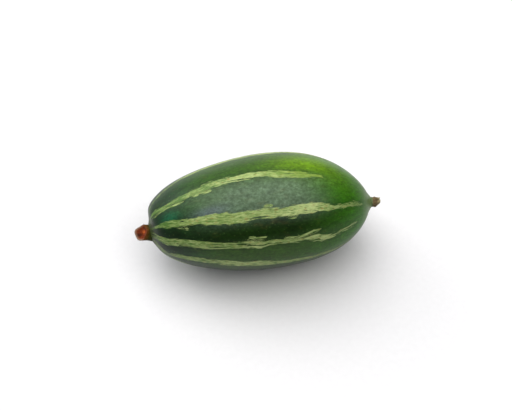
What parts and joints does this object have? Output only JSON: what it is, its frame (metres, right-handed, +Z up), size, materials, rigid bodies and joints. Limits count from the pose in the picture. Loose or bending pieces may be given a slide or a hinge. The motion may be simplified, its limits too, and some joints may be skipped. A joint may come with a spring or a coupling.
{
  "type": "pointed gourd",
  "caption": "Whole pointed gourd lying on its side: plump dark green fruit with pale ragged lengthwise stripes, a torn stalk stub and a dry blossom tip.",
  "frame": {"origin": "middle of the bottom of the bounding box of the whole gourd, on the surface that it lies on", "axes": "+X from the stalk to the blossom tip, +Y to the side that the fruit bulges to, +Z up as it lies"},
  "size_m": [0.0936, 0.0442, 0.0439],
  "materials": {
    "skin": "satin, waxy, dark green with pale stripes",
    "stalk": "torn, fibrous, orange-red",
    "dry_tip": "dry, wrinkled, brown"
  },
  "bodies": {
    "root": {"fruit": "skin", "stalk_stub": "stalk", "blossom_tip": "dry_tip"}
  },
  "joints": []
}
